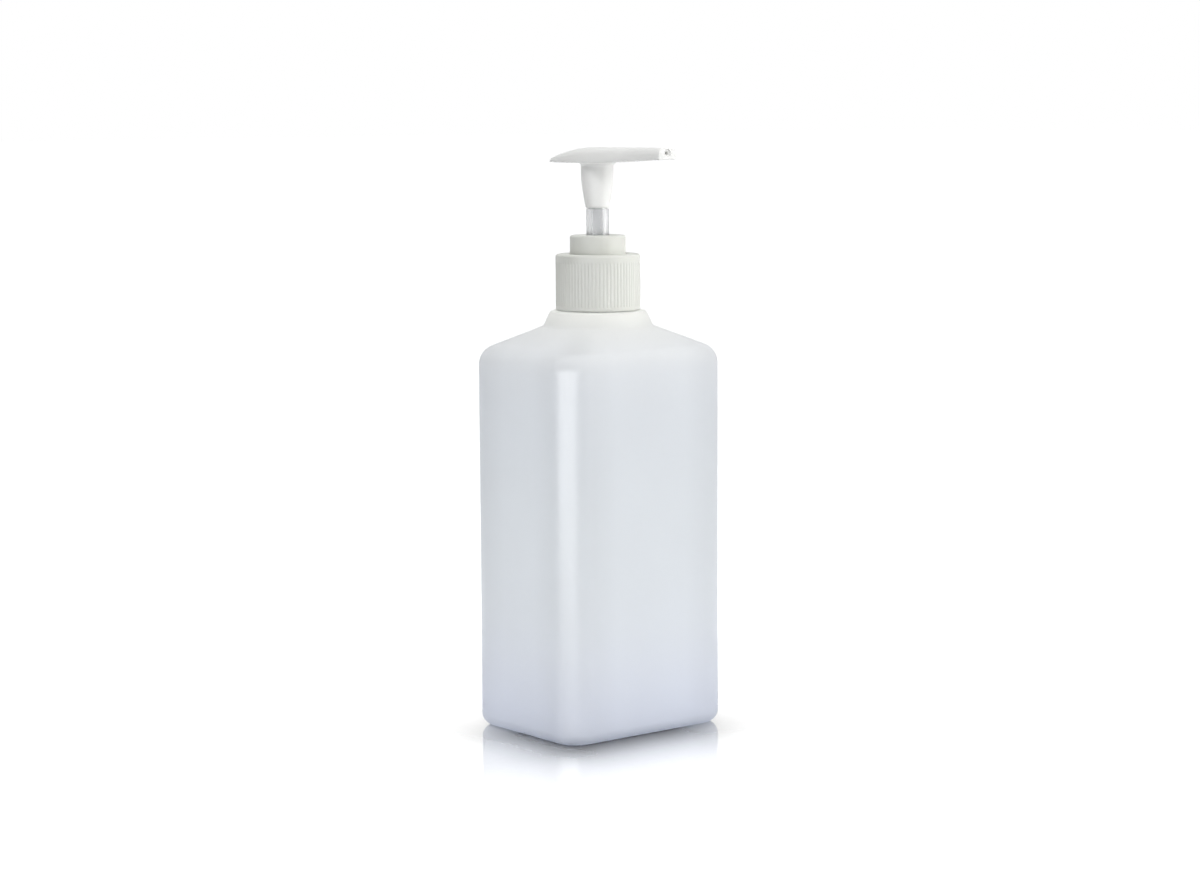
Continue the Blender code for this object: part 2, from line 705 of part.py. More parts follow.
def make_actuator(group, tools, material):
    """The pump head: a lofted pad and spout on a tapered sleeve, with a bore and a channel."""
    stations = [-1.0, -0.97, -0.9, -0.78, -0.62, -0.44, -0.24]
    behind = [PAD_REACH * share for share in stations]
    ahead = [SPOUT_REACH * k / 8 for k in range(9)]
    rings = []
    for along in behind + ahead:
        low, high = head_levels(along)
        rings.append(head_section(along, head_half_width(along), low, high))
    actuator = loft("actuator", rings, group, material)
    overlap = 2.0 * MM
    sleeve = turned_solid("sleeve", [
        (0.0, HEAD_FOOT_Z + overlap),
        (SLEEVE_TOP_R, HEAD_FOOT_Z + overlap),
        (SLEEVE_TOP_R, SLEEVE_FOOT_Z + SLEEVE_TAPER),
        (SLEEVE_FOOT_R, SLEEVE_FOOT_Z),
        (0.0, SLEEVE_FOOT_Z),
    ], tools, MIDDLE_ROUND)
    boolean(actuator, sleeve, "UNION")
    bore = SPIGOT_R + SEAT
    spigot_top = STEM_TOP_Z + SPIGOT_LENGTH + SEAT
    channel_z = HEAD_TOP_Z - ORIFICE_DROP
    below = 1.0 * MM
    drill = turned_solid("stem_drill", [
        (0.0, channel_z),
        (STEM_BORE_R, channel_z),
        (STEM_BORE_R, spigot_top),
        (bore, spigot_top),
        (bore, SLEEVE_FOOT_Z - below),
        (0.0, SLEEVE_FOOT_Z - below),
    ], tools, SMALL_ROUND)
    boolean(actuator, drill, "DIFFERENCE")
    channel = turned_solid("channel_drill", [
        (0.0, SPOUT_REACH + below),
        (ORIFICE_R + 0.9 * MM, SPOUT_REACH + below),
        (ORIFICE_R + 0.9 * MM, SPOUT_REACH - NOZZLE_RECESS),
        (ORIFICE_R, SPOUT_REACH - NOZZLE_RECESS),
        (ORIFICE_R, SPOUT_REACH - 4 * NOZZLE_RECESS),
        (CHANNEL_R, SPOUT_REACH - 5 * NOZZLE_RECESS),
        (CHANNEL_R, 0.0),
        (0.0, 0.0),
    ], tools, TINY_ROUND)
    channel.rotation_euler = (math.pi / 2, 0.0, 0.0)
    channel.location = (0.0, 0.0, channel_z)
    boolean(actuator, channel, "DIFFERENCE")
    return actuator


def main():
    clear_scene()
    group = new_collection("pump_bottle")
    tools = new_collection("cutters")
    milky = plastic("natural_polyethylene", (0.86, 0.89, 0.91), 0.32, clear=0.25)
    white = plastic("white_polypropylene", (0.84, 0.84, 0.82), 0.38)
    clear = plastic("clear_polypropylene", (0.86, 0.87, 0.88), 0.15, clear=0.7)
    foam = plastic("foam_liner", (0.80, 0.81, 0.82), 0.8)
    steel = plastic("stainless_steel", (0.62, 0.62, 0.63), 0.25, metallic=1.0)
    make_bottle(group, tools, milky)
    make_closure(group, tools, white)
    make_chaplet(group, white)
    make_gasket(group, foam)
    make_housing(group, tools, clear)
    make_stem(group, clear)
    make_piston(group, white)
    make_rod(group, clear)
    make_spring(group, steel)
    make_ball(group, steel)
    make_dip_tube(group, tools, clear)
    make_actuator(group, tools, white)


main()
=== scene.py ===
import math

import bmesh
import bpy
from mathutils import Euler, Matrix, Vector


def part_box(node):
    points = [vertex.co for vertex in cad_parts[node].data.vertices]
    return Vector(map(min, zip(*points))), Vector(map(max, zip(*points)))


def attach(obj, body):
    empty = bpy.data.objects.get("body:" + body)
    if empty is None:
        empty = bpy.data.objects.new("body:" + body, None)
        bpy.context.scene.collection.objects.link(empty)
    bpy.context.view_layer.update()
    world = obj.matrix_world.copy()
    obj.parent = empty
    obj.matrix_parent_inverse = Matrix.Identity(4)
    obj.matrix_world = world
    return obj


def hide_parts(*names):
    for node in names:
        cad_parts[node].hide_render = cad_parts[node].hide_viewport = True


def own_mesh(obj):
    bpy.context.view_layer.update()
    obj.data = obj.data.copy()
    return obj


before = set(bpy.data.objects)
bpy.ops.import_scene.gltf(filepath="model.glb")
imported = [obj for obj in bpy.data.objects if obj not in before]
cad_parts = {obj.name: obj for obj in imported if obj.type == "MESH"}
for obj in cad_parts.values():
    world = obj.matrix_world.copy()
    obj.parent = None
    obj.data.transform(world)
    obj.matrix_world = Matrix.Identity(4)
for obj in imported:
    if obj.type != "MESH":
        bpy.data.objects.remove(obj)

MM = 0.001
TURN = 2.0 * math.pi
RIGHT_ANGLE = 0.5 * math.pi
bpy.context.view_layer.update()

# Places and sizes that follow the frame
BOTTLE_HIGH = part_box("bottle")[1]
CAP_LOW, CAP_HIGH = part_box("closure")
BOSS_LOW, BOSS_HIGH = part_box("chaplet")
STEM_LOW, STEM_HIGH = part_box("stem")
HEAD_LOW, HEAD_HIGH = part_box("actuator")
SPRING_LOW, SPRING_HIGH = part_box("return_spring")
HALF_X = BOTTLE_HIGH.x
HALF_Y = BOTTLE_HIGH.y
RIM_Z = BOTTLE_HIGH.z
CAP_R = CAP_HIGH.x
FLANGE_R = BOSS_HIGH.x
STEM_R = STEM_HIGH.x
SPOUT_REACH = -HEAD_LOW.y
PAD_REACH = HEAD_HIGH.y
PAD_HALF = HEAD_HIGH.x

# Body of the bottle. Drops are measured down from the rim
CORNER_R = 13.0 * MM
SMALLEST_CORNER_R = 0.4 * MM
FOOT_R = 5.3 * MM
RIM_WIDTH = 3.4 * MM
PANEL_SLOPE = 2.2 * MM
PANEL_EDGE = 1.0 * MM
PANEL_RECESS = 1.2 * MM
BODY_WALL = 1.2 * MM
SHOULDER_DROP = 36.1 * MM
SHOULDER_R = 9.0 * MM
COLLAR_FOOT_R = 24.4 * MM
COLLAR_FOOT_DROP = 25.3 * MM
COLLAR_FOOT_FILLET = 2.0 * MM
COLLAR_TOP_R = 21.2 * MM
COLLAR_TOP_FILLET = 1.8 * MM

# Neck and thread. The thread starts above the neck's foot and is sunk a little into its wall
NECK_HEIGHT = 18.5 * MM
NECK_ROOT_R = 15.1 * MM
NECK_WALL = 2.2 * MM
RIM_CHAMFER = 0.45 * MM
THREAD_START = 5.2 * MM
THREAD_PITCH = 4.23 * MM
THREAD_SUNK = 0.35 * MM
NECK_FOOT_Z = RIM_Z - NECK_HEIGHT

# Points on one quarter turn, one long side and one short side of the body's section
ARC_POINTS = 21
LONG_POINTS = 25
SHORT_POINTS = 15

# Cap, stem and head
CAP_PLATE = 1.6 * MM
SEAT = 0.3 * MM
STEM_BORE = 2.25 * MM
SLEEVE_FOOT_R = 5.3 * MM
SLEEVE_TOP_R = 7.3 * MM
HEAD_THICK = 7.0 * MM
HEAD_FOOT_Z = HEAD_HIGH.z - HEAD_THICK

# Share of the light that the milky wall lets through at each of its two skins
THROUGH_SHARE = 0.62

# How far the painted shade in the upright corners reaches, and what it leaves of the colour
PAINTED_CORNER_REACH = 26.0 * MM
PAINTED_CORNER_SHADE = 0.952

# Floor: its size, and how far below zero it lies, clear of the bottle's foot
FLOOR_SIZE = 20.0
FLOOR_DROP = 0.2 * MM

# Floor's own light for the eye: its level at the bottle, and the distances between which it rises
FLOOR_GLOW = 0.6
GLOW_FROM = 0.02
GLOW_TO = 0.24

# Floor's reflection: strength, how far it reaches, how it falls off, and its blur
REFLECTION_SHARE = 0.85
REFLECTION_REACH = 0.235
REFLECTION_FALL = 1.5
REFLECTION_BLUR = 0.03

# Painted shadow around the foot: how far it reaches, its strength, how far it is moved towards the
# camera, how it falls off, and its tone
PAINTED_SHADOW_REACH = 58.0 * MM
PAINTED_SHADOW_STRENGTH = 0.92
PAINTED_SHADOW_SHIFT = 18.0 * MM
PAINTED_SHADOW_FALL = 2.2
PAINTED_SHADOW_TONE = (0.1, 0.1, 0.1, 1.0)

# Camera, from the fit to the photograph's outline
FOCAL_PIXELS = 2782.0
PHOTO_WIDTH = 1200.0
SENSOR = 36.0
CAMERA_AZIMUTH = -38.8
CAMERA_DISTANCE = 1.2324
CAMERA_HEIGHT = 0.2765
CAMERA_PITCH = 7.03
CAMERA_ROLL = -0.0055
CAMERA_SHIFT = 1.1 / PHOTO_WIDTH


def srgb(red, green, blue):
    """A display colour, 0 to 255, as the linear value that the shaders use."""
    def linear(value):
        share = value / 255.0
        return share / 12.92 if share <= 0.04045 else ((share + 0.055) / 1.055) ** 2.4
    return (linear(red), linear(green), linear(blue), 1.0)


def add_object(name, data):
    """A new object in the scene, at the origin."""
    item = bpy.data.objects.new(name, data)
    bpy.context.scene.collection.objects.link(item)
    return item


def make_camera():
    """The photograph's view: a long lens a little above the pump's height."""
    data = bpy.data.cameras.new("camera")
    data.sensor_width = SENSOR
    data.lens = SENSOR * FOCAL_PIXELS / PHOTO_WIDTH
    data.shift_x = CAMERA_SHIFT
    data.clip_start = 0.05
    data.clip_end = 60.0
    camera = add_object("camera", data)
    azimuth = math.radians(CAMERA_AZIMUTH)
    across = math.sin(azimuth) * CAMERA_DISTANCE
    ahead = -math.cos(azimuth) * CAMERA_DISTANCE
    camera.location = (across, ahead, CAMERA_HEIGHT)
    aim = Euler((math.radians(90 - CAMERA_PITCH), 0.0, azimuth)).to_matrix()
    camera.rotation_euler = (aim @ Matrix.Rotation(CAMERA_ROLL, 3, "Z")).to_euler()
    bpy.context.scene.camera = camera


def view_direction(turn):
    """The level direction from the bottle to a place that is turned from the camera's, in degrees."""
    angle = math.radians(CAMERA_AZIMUTH + turn)
    return Vector((math.sin(angle), -math.cos(angle), 0.0))


def area_light(name, turn, distance, height, aim, size, power, colour, mirrored=False, spread=180.0):
    """A soft box that faces the bottle's axis at the aim's height.

    It lights the surfaces, or is only mirrored in their gloss.
    """
    data = bpy.data.lights.new(name, "AREA")
    data.shape = "RECTANGLE"
    data.size, data.size_y = size
    data.energy = power
    data.spread = math.radians(spread)
    data.color = colour
    lamp = add_object(name, data)
    lamp.location = view_direction(turn) * distance + Vector((0.0, 0.0, height))
    facing = Vector((0.0, 0.0, aim)) - lamp.location
    lamp.rotation_euler = facing.to_track_quat("-Z", "Y").to_euler()
    lamp.visible_camera = False
    lamp.visible_glossy = mirrored
    lamp.visible_diffuse = not mirrored
    lamp.visible_transmission = not mirrored


class Tree:
    """A node tree, with short ways to add nodes and to feed their inputs."""

    def __init__(self, tree):
        self.tree = tree

    def add(self, kind, **values):
        node = self.tree.nodes.new(kind)
        for name, value in values.items():
            setattr(node, name, value)
        return node

    def feed(self, value, target):
        """Join a socket to an input, or set the input to a plain value."""
        if isinstance(value, bpy.types.NodeSocket):
            self.tree.links.new(value, target)
        else:
            target.default_value = value

    def calc(self, operation, *values, kind="ShaderNodeMath", result=0):
        """The result of an operation on values, each of them a socket or plain."""
        node = self.add(kind, operation=operation)
        for value, target in zip(values, node.inputs):
            self.feed(value, target)
        return node.outputs[result]

    def mixed(self, share, first, second):
        """A shader that goes from the first to the second as the share goes from 0 to 1."""
        node = self.add("ShaderNodeMixShader")
        for value, target in zip((share, first, second), node.inputs):
            self.feed(value, target)
        return node.outputs[0]

    def seen(self):
        """1 on the rays that show what lies behind the object: camera, glossy and transmission rays."""
        rays = self.add("ShaderNodeLightPath").outputs
        total = rays["Is Camera Ray"]
        for name in ("Is Glossy Ray", "Is Transmission Ray"):
            total = self.calc("MAXIMUM", total, rays[name])
        return total

    def background(self, colour, strength):
        node = self.add("ShaderNodeBackground")
        node.inputs["Color"].default_value = colour
        node.inputs["Strength"].default_value = strength
        return node.outputs[0]


def make_lights():
    """Soft boxes right, above and left, a beam on the pump, one for gloss alone, and a pale room."""
    white = (1.0, 1.0, 1.0)
    area_light("key_right", turn=72.0, distance=1.5, height=0.7, aim=0.13, size=(0.9, 1.3),
               power=12.8, colour=(1.0, 0.995, 0.98))
    area_light("front_top", turn=4.0, distance=1.1, height=1.3, aim=0.13, size=(0.5, 0.4),
               power=10.6, colour=white)
    area_light("top_left", turn=-75.0, distance=0.45, height=1.5, aim=0.13, size=(1.2, 1.2),
               power=9.6, colour=white)
    area_light("low_left", turn=-80.0, distance=0.6, height=0.06, aim=0.03, size=(0.5, 0.15),
               power=0.35, colour=white)
    area_light("pump_right", turn=84.0, distance=0.7, height=0.27, aim=0.214, size=(0.12, 0.08),
               power=0.0128, colour=(1.0, 1.0, 0.99), spread=12.0)
    area_light("streak", turn=-26.0, distance=0.4, height=0.125, aim=0.12, size=(0.52, 0.25),
               power=1.2, colour=(0.98, 0.99, 1.0), mirrored=True)
    world = bpy.data.worlds.new("studio")
    bpy.context.scene.world = world
    world.use_nodes = True
    world.node_tree.nodes.clear()
    room = Tree(world.node_tree)
    light = room.background((0.93, 0.96, 1.0, 1.0), 0.1)
    shown = room.background((1.0, 1.0, 1.0, 1.0), 1.0)
    output = room.add("ShaderNodeOutputWorld")
    room.feed(room.mixed(room.seen(), light, shown), output.inputs["Surface"])


class Shader(Tree):
    """A new material, with procedural textures in the object's own coordinates."""

    def __init__(self, name):
        self.material = bpy.data.materials.new(name)
        self.material.use_nodes = True
        super().__init__(self.material.node_tree)
        self.surface = self.tree.nodes["Principled BSDF"]
        self.place = self.add("ShaderNodeTexCoord").outputs["Object"]

    def set(self, **values):
        """Plain values of the surface shader's own sockets."""
        for name, value in values.items():
            self.surface.inputs[name.replace("_", " ")].default_value = value

    def dress(self, **sources):
        """Sources joined to the surface shader's sockets."""
        for name, source in sources.items():
            self.feed(source, self.surface.inputs[name.replace("_", " ")])

    def finish(self, source):
        """The material's result, where it isn't the surface shader alone."""
        self.feed(source, self.tree.nodes["Material Output"].inputs["Surface"])

    def vector(self, operation, *values, result="Vector"):
        """The same as calc, on vectors."""
        return self.calc(operation, *values, kind="ShaderNodeVectorMath", result=result)

    def split(self, source):
        """The X, Y and Z outputs of a vector."""
        node = self.add("ShaderNodeSeparateXYZ")
        self.feed(source, node.inputs["Vector"])
        return node.outputs

    def noise(self, across, along, detail=2.0):
        """Noise with one scale in X and Y and another along Z, per metre."""
        mapping = self.add("ShaderNodeMapping")
        mapping.inputs["Scale"].default_value = (across, across, along)
        self.feed(self.place, mapping.inputs["Vector"])
        texture = self.add("ShaderNodeTexNoise")
        texture.inputs["Scale"].default_value = 1.0
        texture.inputs["Detail"].default_value = detail
        texture.inputs["Roughness"].default_value = 0.5
        self.feed(mapping.outputs["Vector"], texture.inputs["Vector"])
        return texture.outputs["Fac"]

    def ranged(self, source, low, high, from_low=0.3, from_high=0.7):
        """A source mapped to the range from low to high. Noise lies mostly between 0.3 and 0.7."""
        node = self.add("ShaderNodeMapRange")
        node.inputs["From Min"].default_value = from_low
        node.inputs["From Max"].default_value = from_high
        node.inputs["To Min"].default_value = low
        node.inputs["To Max"].default_value = high
        self.feed(source, node.inputs["Value"])
        return node.outputs["Result"]

    def ramp(self, source, stops, kind="LINEAR"):
        """A colour from (place, colour) stops."""
        node = self.add("ShaderNodeValToRGB")
        band = node.color_ramp
        band.interpolation = kind
        band.elements[0].position, band.elements[0].color = stops[0]
        band.elements[1].position, band.elements[1].color = stops[-1]
        for place, colour in stops[1:-1]:
            band.elements.new(place).color = colour
        self.feed(source, node.inputs["Fac"])
        return node.outputs["Color"]

    def two_tone(self, source, low, high):
        """A colour that a noise varies between two."""
        return self.ramp(source, [(0.3, low), (0.7, high)])

    def shaded(self, colour, factor):
        """Colour multiplied by a factor."""
        node = self.add("ShaderNodeVectorMath", operation="SCALE")
        self.feed(colour, node.inputs[0])
        self.feed(factor, node.inputs["Scale"])
        return node.outputs["Vector"]

    def bump(self, heights):
        """Bumps stacked from (height source, depth in metres) pairs."""
        normal = None
        for source, depth in heights:
            node = self.add("ShaderNodeBump")
            node.inputs["Strength"].default_value = 1.0
            node.inputs["Distance"].default_value = depth
            self.feed(source, node.inputs["Height"])
            if normal is not None:
                self.feed(normal, node.inputs["Normal"])
            normal = node.outputs["Normal"]
        self.dress(Normal=normal)


def painted_corner_shade(shader):
    """Painted shade: the colour is a little darker in the four upright corners, where the blown wall
    bends.
    """
    away = shader.split(shader.vector("ABSOLUTE", shader.place))
    near_x = shader.ranged(away["X"], 0.0, 1.0, HALF_X - PAINTED_CORNER_REACH, HALF_X)
    near_y = shader.ranged(away["Y"], 0.0, 1.0, HALF_Y - PAINTED_CORNER_REACH, HALF_Y)
    return shader.ranged(shader.calc("MULTIPLY", near_x, near_y), 1.0, PAINTED_CORNER_SHADE, 0.0, 0.5)


def milky_plastic():
    """Natural polyethylene: milky and bluish towards the floor, with painted light by height: lighter
    near the floor, and a painted glow towards the neck.
    """
    shader = Shader("milky_polyethylene")
    collar_z = 0.19
    height = shader.ranged(shader.split(shader.place)["Z"], 0.0, 1.0, 0.0, collar_z)
    # Painted light by height: the tint is lighter near the floor and rises to a painted glow at the
    # neck
    tint = shader.ramp(height, [
        (0.0, srgb(240, 243, 250)),
        (0.12, srgb(241, 243, 248)),
        (0.26, srgb(240, 242, 244)),
        (0.44, srgb(238, 240, 242)),
        (0.62, srgb(237, 239, 241)),
        (0.84, srgb(235, 237, 240)),
        (0.93, srgb(242, 242, 241)),
        (1.0, srgb(252, 252, 248)),
    ], "B_SPLINE")
    clouds = shader.ranged(shader.noise(18.0, 9.0, 3.0), 0.985, 1.015)
    # The colour carries the painted shade in the upright corners
    colour = shader.shaded(tint, shader.calc("MULTIPLY", clouds, painted_corner_shade(shader)))
    shader.dress(Base_Color=colour, Roughness=shader.ranged(shader.noise(40.0, 12.0), 0.31, 0.37))
    shader.set(IOR=1.5, Specular_IOR_Level=1.0, Coat_Weight=1.0, Coat_IOR=2.0, Coat_Roughness=0.3)
    through = shader.add("ShaderNodeBsdfTranslucent")
    shader.feed(colour, through.inputs["Color"])
    shader.finish(shader.mixed(THROUGH_SHARE, shader.surface.outputs[0], through.outputs[0]))
    shader.bump([
        (shader.noise(30.0, 10.0, 1.0), 0.25 * MM),
        (shader.noise(1400.0, 900.0, 3.0), 0.006 * MM),
    ])
    return shader.material


def white_plastic(name, low, high):
    """Injection-moulded white polypropylene with a satin skin."""
    shader = Shader(name)
    shader.dress(Base_Color=shader.two_tone(shader.noise(60.0, 40.0, 3.0), low, high),
                 Roughness=shader.ranged(shader.noise(120.0, 80.0), 0.38, 0.46))
    shader.set(Subsurface_Weight=0.12, Subsurface_Radius=(0.003, 0.003, 0.003), Subsurface_Scale=1.0,
               IOR=1.49)
    shader.bump([
        (shader.noise(90.0, 60.0, 2.0), 0.05 * MM),
        (shader.noise(900.0, 900.0, 2.0), 0.003 * MM),
    ])
    return shader.material


def clear_plastic():
    """Clear polypropylene, faintly cloudy, with fine lines along its length."""
    shader = Shader("clear_polypropylene")
    tint = shader.two_tone(shader.noise(400.0, 20.0, 2.0), srgb(218, 219, 220), srgb(229, 230, 231))
    shader.dress(Base_Color=tint, Roughness=shader.ranged(shader.noise(300.0, 30.0), 0.2, 0.28))
    shader.set(Transmission_Weight=0.75, IOR=1.49)
    shader.bump([(shader.noise(900.0, 8.0, 2.0), 0.006 * MM)])
    return shader.material


def foam_plastic():
    """The gasket's pale foam, matt and finely pitted."""
    shader = Shader("foam_liner")
    tint = shader.two_tone(shader.noise(900.0, 900.0, 4.0), srgb(214, 216, 218), srgb(232, 233, 234))
    shader.dress(Base_Color=tint)
    shader.set(Roughness=0.85)
    shader.bump([(shader.noise(1500.0, 1500.0, 3.0), 0.08 * MM)])
    return shader.material


def steel():
    """Drawn stainless steel for the spring and the ball."""
    shader = Shader("stainless_steel")
    tint = shader.two_tone(shader.noise(300.0, 60.0, 3.0), srgb(190, 191, 193), srgb(208, 209, 210))
    shader.dress(Base_Color=tint, Roughness=shader.ranged(shader.noise(500.0, 500.0), 0.18, 0.3))
    shader.set(Metallic=1.0)
    shader.bump([(shader.noise(1200.0, 1200.0, 2.0), 0.004 * MM)])
    return shader.material


def add_piece(name, mesh, material, body, node, angle):
    """Add a piece that stands for a CAD node, rides on a body and is smooth up to an angle."""
    piece = add_object(name, mesh)
    mesh.materials.append(material)
    mesh.shade_smooth()
    mesh.set_sharp_from_angle(angle=math.radians(angle))
    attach(piece, body)
    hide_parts(node)
    return piece


def loft_mesh(name, rings, looped=False):
    """Skin rings of equal counts of points. Each runs counter-clockwise, seen from ahead."""
    mesh = bpy.data.meshes.new(name)
    shape = bmesh.new()
    loops = [[shape.verts.new(point) for point in ring] for ring in rings]
    pairs = list(zip(loops, loops[1:]))
    if looped:
        pairs.append((loops[-1], loops[0]))
    for low, high in pairs:
        for k in range(len(low)):
            after = (k + 1) % len(low)
            shape.faces.new((low[k], low[after], high[after], high[k]))
    if not looped:
        shape.faces.new(list(reversed(loops[0])))
        shape.faces.new(loops[-1])
    shape.to_mesh(mesh)
    shape.free()
    return mesh


def circle(radius, height, count):
    """A level ring of points around the axis."""
    return [(radius * math.cos(TURN * k / count), radius * math.sin(TURN * k / count), height)
            for k in range(count)]


def turned_mesh(name, outline, count=128):
    """Turn a closed outline of (radius, height) points that runs up its outer side."""
    return loft_mesh(name, [circle(radius, height, count) for radius, height in outline], looped=True)


def turned_tool(name, outline, count=96):
    """A turned solid with flat ends, whose outline of (radius, height) points runs upwards."""
    mesh = loft_mesh(name, [circle(radius, height, count) for radius, height in outline])
    return add_object(name, mesh)


def fillet(before, bend, after, radius, steps):
    """A rounded bend in a (radius, height) line: its points with their outward normals."""
    back = (Vector(before) - Vector(bend)).normalized()
    ahead = (Vector(after) - Vector(bend)).normalized()
    half = 0.5 * back.angle(ahead)
    centre = Vector(bend) + (back + ahead).normalized() * radius / math.sin(half)
    start = (Vector(bend) + back * radius / math.tan(half) - centre).normalized()
    end = (Vector(bend) + ahead * radius / math.tan(half) - centre).normalized()
    sign = 1.0 if (back.x * ahead.y - back.y * ahead.x) < 0 else -1.0
    points = []
    for k in range(steps + 1):
        spoke = start.slerp(end, k / steps)
        place = centre + spoke * radius
        points.append((place.x, place.y, spoke.x * sign, spoke.y * sign))
    return points


def rounded(corners, steps=5):
    """A closed outline whose corners (radius, height, rounding) are rounded where that is above 0."""
    outline = []
    count = len(corners)
    for k, (radius, height, rounding) in enumerate(corners):
        if rounding <= 0:
            outline.append((radius, height))
            continue
        before = corners[k - 1][:2]
        after = corners[(k + 1) % count][:2]
        bend = fillet(before, (radius, height), after, rounding, steps)
        outline += [(reach, level) for reach, level, out, up in bend]
    return outline


def rounded_rectangle(half_x, half_y, corner):
    """The points of a rounded rectangle, in order from the middle of its +X side."""
    corner = max(corner, SMALLEST_CORNER_R)
    low = math.atan2(half_y - corner, half_x)
    high = math.atan2(half_y, half_x - corner)
    first = []
    steps = (SHORT_POINTS + 1) // 2
    for k in range(steps):
        first.append((half_x, half_x * math.tan(low * k / steps)))
    for k in range(ARC_POINTS):
        angle = RIGHT_ANGLE * k / (ARC_POINTS - 1)
        first.append((half_x - corner + corner * math.cos(angle),
                      half_y - corner + corner * math.sin(angle)))
    steps = (LONG_POINTS + 1) // 2
    for k in range(1, steps + 1):
        angle = high + (RIGHT_ANGLE - high) * k / steps
        first.append((half_y / math.tan(angle), half_y))
    upper = first + [(-x, y) for x, y in reversed(first[:-1])]
    return upper + [(x, -y) for x, y in reversed(upper[1:-1])]


SECTION_ANGLES = [math.atan2(y, x) for x, y in rounded_rectangle(HALF_X, HALF_Y, CORNER_R)]


def body_ring(share, radius, inset, height):
    """A section between the body's rounded rectangle (share 0) and a circle (share 1)."""
    box = rounded_rectangle(HALF_X - inset, HALF_Y - inset, CORNER_R - inset)
    return [((1 - share) * x + share * radius * math.cos(angle),
             (1 - share) * y + share * radius * math.sin(angle), height)
            for (x, y), angle in zip(box, SECTION_ANGLES)]


def bottle_profile():
    """The outside from the base panel to the rim, as (share, radius, inset, height, out, up, wall)."""
    rows = []

    def square(inset, height, out, up):
        rows.append((0, 0, inset, height, out, up, BODY_WALL))

    def round_row(reach, height, out, up, wall=BODY_WALL):
        rows.append((1.0, reach, 0, height, out, up, wall))

    panel = FOOT_R + RIM_WIDTH + PANEL_SLOPE
    square(panel + PANEL_EDGE, PANEL_RECESS, 0, -1)
    steps = 8
    for k in range(steps + 1):
        share = k / steps
        recess = PANEL_RECESS * (0.5 + 0.5 * math.cos(math.pi * share))
        square(panel - PANEL_SLOPE * share, recess, 0, -1)
    steps = 12
    for k in range(steps + 1):
        angle = RIGHT_ANGLE * k / steps
        square(FOOT_R * (1 - math.sin(angle)), FOOT_R * (1 - math.cos(angle)),
               math.sin(angle), -math.cos(angle))
    edge = math.hypot(HALF_X - CORNER_R, HALF_Y - CORNER_R) + CORNER_R
    corner = (edge, RIM_Z - SHOULDER_DROP)
    foot = (COLLAR_FOOT_R, RIM_Z - COLLAR_FOOT_DROP)
    top = (COLLAR_TOP_R, NECK_FOOT_Z)
    shoulder = fillet((edge, 0.0), corner, foot, SHOULDER_R, 16)
    wall_top = shoulder[0][1]
    steps = 30
    for k in range(1, steps):
        square(0, FOOT_R + (wall_top - FOOT_R) * k / steps, 1, 0)
    ridge = fillet(corner, foot, top, COLLAR_FOOT_FILLET, 6)
    last, following = shoulder[-1], ridge[0]
    steps = 8
    for k in range(1, steps):
        share = k / steps
        shoulder.append(tuple(a + (b - a) * share for a, b in zip(last, following)))
    for reach, height, out, up in shoulder + ridge:
        share = (edge - reach) / (edge - COLLAR_FOOT_R)
        if share <= 1.0:
            rows.append((share, COLLAR_FOOT_R, 0, height, out, up, BODY_WALL))
        else:
            round_row(reach, height, out, up)
    for row in fillet(foot, top, (NECK_ROOT_R, NECK_FOOT_Z), COLLAR_TOP_FILLET, 7):
        round_row(*row)
    root = 0.5 * MM
    round_row(NECK_ROOT_R + root, NECK_FOOT_Z, 0.3, 0.95)
    round_row(NECK_ROOT_R, NECK_FOOT_Z + root, 1, 0, NECK_WALL)
    round_row(NECK_ROOT_R, RIM_Z - RIM_CHAMFER, 1, 0, NECK_WALL)
    return rows


def helix_ridge(name, root, crest, base, tip, start, turns):
    """A screw thread's ridge, base wide at its root and tip at its crest, that fades at both ends."""
    per_turn = 48
    fade_steps = 8.0
    faintest = 0.15
    steps = int(turns * per_turn)
    rings = []
    for k in range(steps + 1):
        angle = TURN * k / per_turn
        height = start + THREAD_PITCH * k / per_turn
        fade = min(1.0, faintest + k / fade_steps, faintest + (steps - k) / fade_steps)
        reach = root + (crest - root) * fade
        crest_half = tip / 2 * fade
        section = [(root, -base / 2), (reach, -crest_half), (reach, crest_half), (root, base / 2)]
        if crest > root:
            section.reverse()
        rings.append([(radius * math.cos(angle), radius * math.sin(angle), height + rise)
                      for radius, rise in section])
    return add_object(name, loft_mesh(name, rings))


def apply_booleans(mesh, steps):
    """Cut or join a mesh with temporary tools, given as (object, operation) pairs."""
    work = add_object("work", mesh)
    for tool, operation in steps:
        modifier = work.modifiers.new(operation.lower(), "BOOLEAN")
        modifier.operation = operation
        modifier.object = tool
        modifier.solver = "EXACT"
    bpy.context.view_layer.update()
    ready = work.evaluated_get(bpy.context.evaluated_depsgraph_get())
    result = bpy.data.meshes.new_from_object(ready)
    result.name = mesh.name
    bpy.data.objects.remove(work)
    for tool, operation in steps:
        bpy.data.objects.remove(tool)
    return result


def make_bottle(material):
    """The blown bottle as one smooth shell, with its threaded neck."""
    profile = bottle_profile()
    outside = [body_ring(share, radius, inset, height)
               for share, radius, inset, height, out, up, wall in profile]
    inside = [body_ring(share, radius - wall * out, inset + wall * out, height - wall * up)
              for share, radius, inset, height, out, up, wall in profile]
    rim = [body_ring(1.0, NECK_ROOT_R - RIM_CHAMFER, 0, RIM_Z),
           body_ring(1.0, NECK_ROOT_R - NECK_WALL + RIM_CHAMFER, 0, RIM_Z)]
    mesh = loft_mesh("bottle_shell", outside + rim + list(reversed(inside)))
    ridge = 1.15 * MM
    thread = helix_ridge("neck_thread", NECK_ROOT_R - THREAD_SUNK, NECK_ROOT_R + ridge,
                         base=1.9 * MM, tip=0.9 * MM, start=NECK_FOOT_Z + THREAD_START, turns=1.5)
    mesh = apply_booleans(mesh, [(thread, "UNION")])
    add_piece("bottle_shell", mesh, material, "bottle", "bottle", 50.0)


